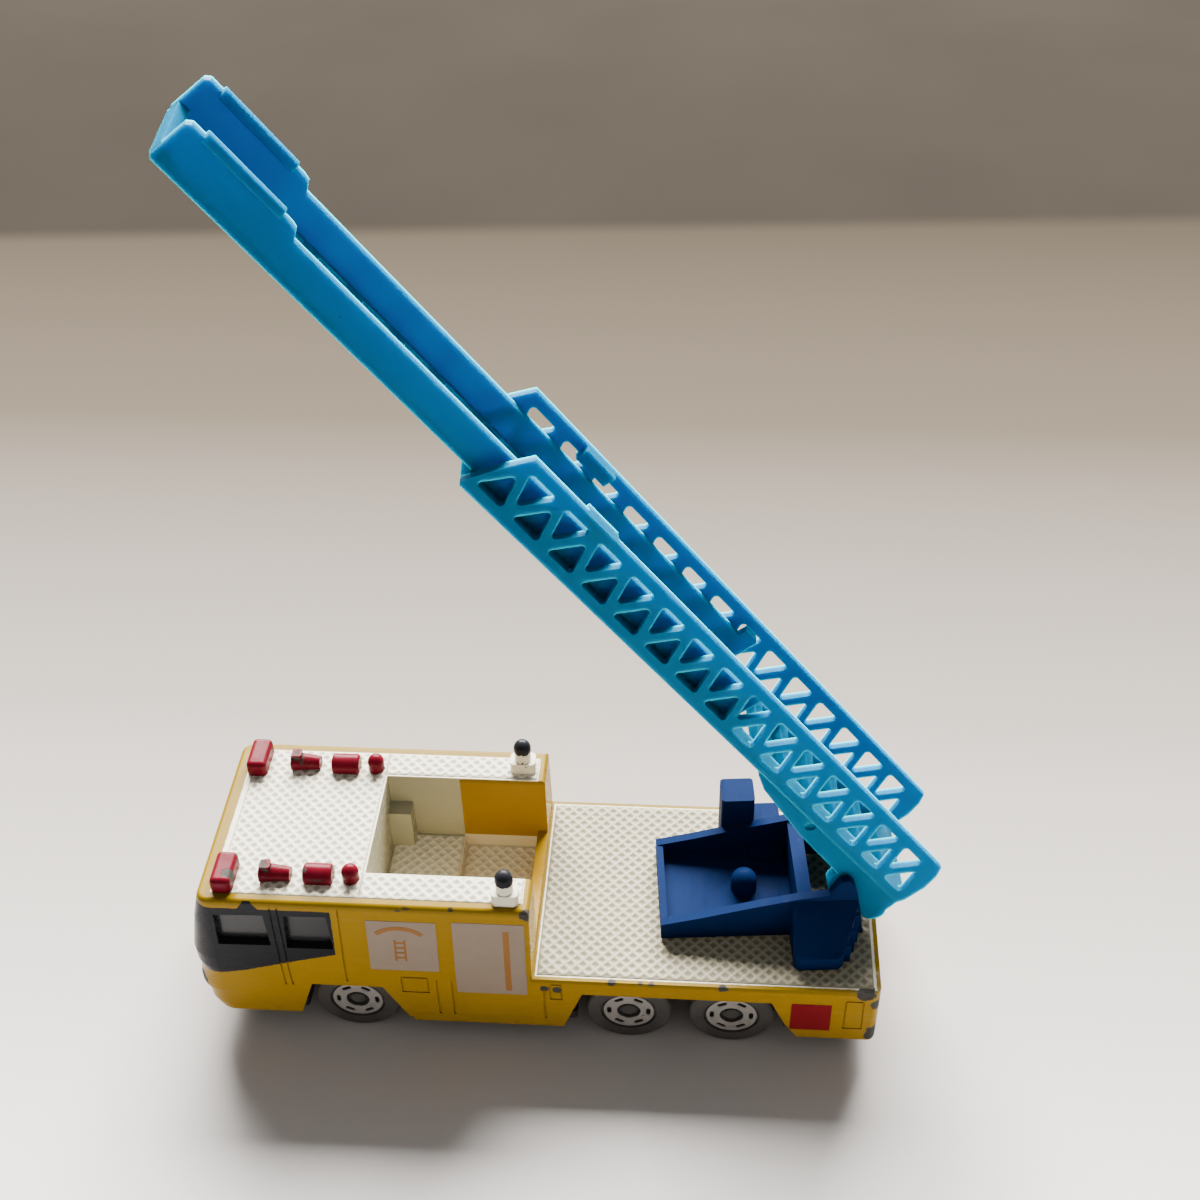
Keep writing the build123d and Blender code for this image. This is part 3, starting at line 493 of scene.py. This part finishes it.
dress(nodes["body_casting"], paint)
for name in ("turntable", "turntable_peg"):
    dress(nodes[name], royal)
for name in nodes:
    if "ladder" in name and "pin" not in name:
        dress(nodes[name], sky)
    if name.endswith("_wheel"):
        dress(nodes[name], wheel_look)
    if name.endswith("_axle") or name.endswith("_pin"):
        dress(nodes[name], steel)
    if name.endswith("_rivet"):
        dress(nodes[name], bare_metal(name + "_metal", (0.25, 0.24, 0.23), (0.5, 0.49, 0.47)))
dress(nodes["window_glazing"], smoked_glass())
dress(nodes["cab_interior"], moulded("interior_plastic", (0.03, 0.03, 0.029), (0.05, 0.05, 0.047)))
dress(nodes["base_plate"], moulded("plate_black", (0.012, 0.012, 0.012), (0.03, 0.03, 0.03)))


# ---------------------------------------------------------------- tread pieces

def new_piece(name, points, faces, material, body, smooth=False):
    """An added piece from points in millimetres, riding on a body and listed in a material slot."""
    mesh = bpy.data.meshes.new(name)
    mesh.from_pydata([tuple(c * MM for c in p) for p in points], [], faces)
    mesh.update()
    if smooth:
        mesh.shade_smooth()
    piece = bpy.data.objects.new(name, mesh)
    bpy.context.scene.collection.objects.link(piece)
    dress(piece, material)
    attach(piece, body)


def sheet_solid(heights, low, xs, ys):
    """Points and faces of a closed slab: a grid of top heights over a flat underside."""
    nx, ny = len(xs), len(ys)
    top = [(x, y, heights[i][j]) for i, x in enumerate(xs) for j, y in enumerate(ys)]
    under = [(x, y, low) for x in xs for y in ys]
    base = nx * ny
    faces = []
    for i in range(nx - 1):
        for j in range(ny - 1):
            a = i * ny + j
            faces.append((a, a + ny, a + ny + 1, a + 1))
            faces.append((base + a, base + a + 1, base + a + ny + 1, base + a + ny))
    for i in range(nx - 1):
        for j in (0, ny - 1):
            a = i * ny + j
            quad = (a, base + a, base + a + ny, a + ny)
            faces.append(quad if j == 0 else quad[::-1])
    for j in range(ny - 1):
        for i in (0, nx - 1):
            a = i * ny + j
            quad = (a, a + 1, base + a + 1, base + a)
            faces.append(quad if i == 0 else quad[::-1])
    return top + under, faces


TREAD_PITCH = 1.4
TREAD_HEIGHT = 0.14
TREAD_STEP = TREAD_PITCH / 10
# Half the width of a ridge as a share of the pitch
RIDGE_HALF = 0.36
# The ridges sink to just above the casting at a border, over this distance
BORDER_FADE = 0.3
BORDER_LIFT = 0.004
# How far added pieces reach into the casting, so that no gap shows
SINK = 0.05
# Bare deck round the turntable
TURNTABLE_CLEAR = 3.6


def tread_height(x, y):
    """Crossing diagonal ridges, with a pit in every square between them."""
    best = 0.0
    for along in ((x + y) / TREAD_PITCH, (x - y) / TREAD_PITCH):
        off = abs(along - math.floor(along) - 0.5)
        ridge = max(0.0, 1.0 - off / RIDGE_HALF)
        best = max(best, ridge * ridge * (3.0 - 2.0 * ridge))
    return best * TREAD_HEIGHT


def tread_patch(name, station_a, station_b, y_a, y_b, base, hole=None):
    """A rectangle of tread that sinks towards the casting at its borders and at a round hole."""
    x_low, x_high = at_station(station_b), at_station(station_a)
    xs = np.linspace(x_low, x_high, round((x_high - x_low) / TREAD_STEP) + 1)
    ys = np.linspace(y_a, y_b, round((y_b - y_a) / TREAD_STEP) + 1)
    heights = []
    for x in xs:
        row = []
        for y in ys:
            border = min(x - x_low, x_high - x, y - y_a, y_b - y)
            lift = tread_height(x, y) * min(1.0, border / BORDER_FADE)
            if hole:
                hole_x, hole_y, hole_radius = hole
                away = math.hypot(x - hole_x, y - hole_y)
                lift *= min(1.0, max(0.0, (away - hole_radius) / BORDER_FADE))
            row.append(base + BORDER_LIFT + lift)
        heights.append(row)
    points, faces = sheet_solid(heights, base - SINK, xs, ys)
    new_piece(name, points, faces, tread, "truck", smooth=True)


tread_patch("roof_tread_front", 4.2, 20.2, -11.0, 11.0, ROOF)
for side, word in SIDES:
    low, high = sorted((side * 7.55, side * 11.0))
    tread_patch("roof_tread_" + word, 20.2, 38.3, low, high, ROOF)
tread_patch("deck_tread", 39.7, 77.4, -12.8, 12.8, DECK, hole=(TURNTABLE_X, 0.0, TURNTABLE_CLEAR))
tread_patch("well_tread_front", 20.6, 29.0, -7.2, 7.2, DECK)
tread_patch("well_tread_rear", 29.2, 37.9, -7.2, 7.2, WELL_FLOOR)


# ---------------------------------------------------------------- labels and markers

# The white labels are printed much darker than the roof's white: painted shade, as they sit on the shaded
# sides
label_white_with_painted_shade = print_ink("label_white_with_painted_shade", (0.25, 0.19, 0.14), (0.31, 0.24, 0.18))
label_orange = print_ink("label_orange", (0.26, 0.115, 0.028), (0.31, 0.145, 0.04))
marker_red = print_ink("marker_red", (0.17, 0.006, 0.009), (0.21, 0.009, 0.013), wear_limit=0.8)

# How far each print stands out from the side, so that one shows in front of another
LABEL_LIFT = 0.05
STRIPE_LIFT = 0.07
DRAWING_LIFT = 0.08
MARKER_LIFT = 0.09

# The drawing on the front label: an arc over a small ladder
SIGN_STATION = 24.6
ARC_CENTRE_Z = 14.9
ARC_RADIUS = 4.0
ARC_START = 50.0
ARC_SWEEP = 80.0
ARC_STEPS = 12
ARC_WIDTH = 0.55
RAIL_OFFSETS = ((-0.55, "front"), (0.55, "rear"))
RAIL_LOW, RAIL_HIGH = 13.9, 17.1
RAIL_WIDTH = 0.26
RUNG_COUNT = 4
FIRST_RUNG_Z = 14.4
RUNG_PITCH = 0.75
RUNG_HALF = 0.5
RUNG_WIDTH = 0.22


def on_side(station, z, side, out):
    """A point this far out from the body's side."""
    return (at_station(station), side * (side_y(z) + out), z)


def side_strip(name, edges, material, side, lift):
    """A thin closed strip on the body's side, from pairs of (station, height) edge points."""
    points = [on_side(station, z, side, out)
              for pair in edges for station, z in pair for out in (lift, -SINK)]
    faces = []
    for k in range(len(edges) - 1):
        a = 4 * k
        faces += [(a, a + 4, a + 6, a + 2), (a + 1, a + 3, a + 7, a + 5),
                  (a, a + 1, a + 5, a + 4), (a + 2, a + 6, a + 7, a + 3)]
    last = 4 * (len(edges) - 1)
    faces += [(0, 2, 3, 1), (last, last + 1, last + 3, last + 2)]
    if side < 0:
        faces = [face[::-1] for face in faces]
    new_piece(name, points, faces, material, "truck")


def side_plate(name, station_a, station_b, z_a, z_b, material, side, lift=LABEL_LIFT):
    """A printed panel that follows the leaning side of the body."""
    zs = sorted({z_a, z_b, *[z for z, _ in SIDE_LEVELS if z_a < z < z_b]})
    side_strip(name, [((station_a, z), (station_b, z)) for z in zs], material, side, lift)


def side_stroke(name, path, width, side):
    """A printed line along a path of (station, height) points."""
    edges = []
    for k, (station, z) in enumerate(path):
        before, after = path[max(k - 1, 0)], path[min(k + 1, len(path) - 1)]
        run, rise = after[0] - before[0], after[1] - before[1]
        length = math.hypot(run, rise)
        edges.append([(station - way * width * rise / length, z + way * width * run / length)
                      for way in (-0.5, 0.5)])
    side_strip(name, edges, label_orange, side, DRAWING_LIFT)


for side, word in SIDES:
    arc = []
    for k in range(ARC_STEPS + 1):
        angle = math.radians(ARC_START + ARC_SWEEP * k / ARC_STEPS)
        arc.append((SIGN_STATION - ARC_RADIUS * math.cos(angle), ARC_CENTRE_Z + ARC_RADIUS * math.sin(angle)))
    side_stroke("label_arc_" + word, arc, ARC_WIDTH, side)
    for offset, end in RAIL_OFFSETS:
        rail = ((SIGN_STATION + offset, RAIL_LOW), (SIGN_STATION + offset, RAIL_HIGH))
        side_stroke(f"label_ladder_rail_{word}_{end}", rail, RAIL_WIDTH, side)
    for k in range(RUNG_COUNT):
        z = FIRST_RUNG_Z + RUNG_PITCH * k
        rung = ((SIGN_STATION - RUNG_HALF, z), (SIGN_STATION + RUNG_HALF, z))
        side_stroke(f"label_ladder_rung_{word}_{k + 1}", rung, RUNG_WIDTH, side)
for side, word in SIDES:
    side_plate("front_label_" + word, 21.0, 28.8, 12.35, 19.9, label_white_with_painted_shade, side)
    side_plate("rear_label_" + word, 30.6, 38.6, 8.9, 20.1, label_white_with_painted_shade, side)
    side_plate("label_stripe_" + word, 36.2, 36.9, 9.6, 19.0, label_orange, side, lift=STRIPE_LIFT)
    side_plate("red_marker_" + word, 68.4, 72.9, 4.7, 9.4, marker_red, side, lift=MARKER_LIFT)


# ---------------------------------------------------------------- stage, light and camera

# The paper's far edge runs at a slight slant; both ends are Y in millimetres
PAPER_EDGE_Y = -188.0
PAPER_EDGE_SLANT = -0.06
PAPER_END_Y = 135.0
PAPER_EDGE_SOFT = 4.0
# Painted shade on the paper, deeper away from the camera: (Y, tone)
PAPER_PAINTED_SHADE_TONES = ((-200.0, (0.040, 0.033, 0.025)), (-115.0, (0.095, 0.078, 0.060)),
               (-45.0, (0.27, 0.243, 0.22)), (0.0, (0.46, 0.43, 0.41)), (60.0, (0.84, 0.81, 0.81)))
FLOOR_HALF = 1.5
FLOOR_GAP = 0.00002
LIGHT_TARGET = Vector((0.0, 0.0, 0.02))
# The camera's turns about X, Y and Z in degrees
CAMERA_TURNS = (49.40, 1.13, -176.23)


def floor_paper():
    """Pale paper, in deeper shade away from the camera, lying on a dark table top."""
    g = Graph("floor_paper", roughness=0.75, specular=0.0)
    table = g.mix(g.noise(0.02, 3), (0.024, 0.0205, 0.017), (0.030, 0.026, 0.0215))
    slanted_y = g.math("ADD", g.y, g.math("MULTIPLY", g.x, PAPER_EDGE_SLANT))
    on_paper = g.inside(slanted_y, PAPER_EDGE_Y, PAPER_END_Y, PAPER_EDGE_SOFT)
    g.put("Base Color", g.mix(on_paper, table, g.ramp(g.y, PAPER_PAINTED_SHADE_TONES)))
    g.bump(g.noise(1.2, 3), 0.08, 0.03)
    return g.material


def lay_floor(name, z, material):
    """A square floor for the stage, just below the truck."""
    mesh = bpy.data.meshes.new(name)
    corners = [(x * FLOOR_HALF, y * FLOOR_HALF, 0) for x, y in ((-1, -1), (1, -1), (1, 1), (-1, 1))]
    mesh.from_pydata(corners, [], [(0, 1, 2, 3)])
    plane = bpy.data.objects.new(name, mesh)
    plane.location = (0, 0, z)
    bpy.context.scene.collection.objects.link(plane)
    dress(plane, material)
    plane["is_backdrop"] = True


def area_light(name, energy, size, place, colour):
    """A rectangular light that faces the truck."""
    data = bpy.data.lights.new(name, "AREA")
    data.energy = energy
    data.shape = "RECTANGLE"
    data.size, data.size_y = size
    data.color = colour
    lamp = bpy.data.objects.new(name, data)
    lamp.location = place
    lamp.rotation_euler = (LIGHT_TARGET - Vector(place)).to_track_quat("-Z", "Y").to_euler()
    bpy.context.scene.collection.objects.link(lamp)


lay_floor("floor", cad_low.z - FLOOR_GAP, floor_paper())
area_light("window_light", energy=238.0, size=(1.3, 1.0), place=(0.03, -1.19, 0.885),
           colour=(1.0, 0.98, 0.935))
area_light("room_fill", energy=0.3, size=(0.9, 0.9), place=(-0.35, 0.5, 0.6), colour=(1.0, 0.96, 0.92))

world = bpy.data.worlds.new("soft_room")
world.use_nodes = True
background = world.node_tree.nodes["Background"]
background.inputs["Color"].default_value = (0.80, 0.77, 0.74, 1.0)
background.inputs["Strength"].default_value = 0.34
bpy.context.scene.world = world

camera_data = bpy.data.cameras.new("camera")
camera_data.sensor_width = 36.0
camera_data.lens = 47.78
camera_data.clip_start = 0.005
camera_data.clip_end = 10.0
camera = bpy.data.objects.new("camera", camera_data)
camera.location = (-0.01489, 0.12055, 0.16044)
camera.rotation_euler = Euler([math.radians(turn) for turn in CAMERA_TURNS], "XYZ")
bpy.context.scene.collection.objects.link(camera)
bpy.context.scene.camera = camera

low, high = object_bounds()
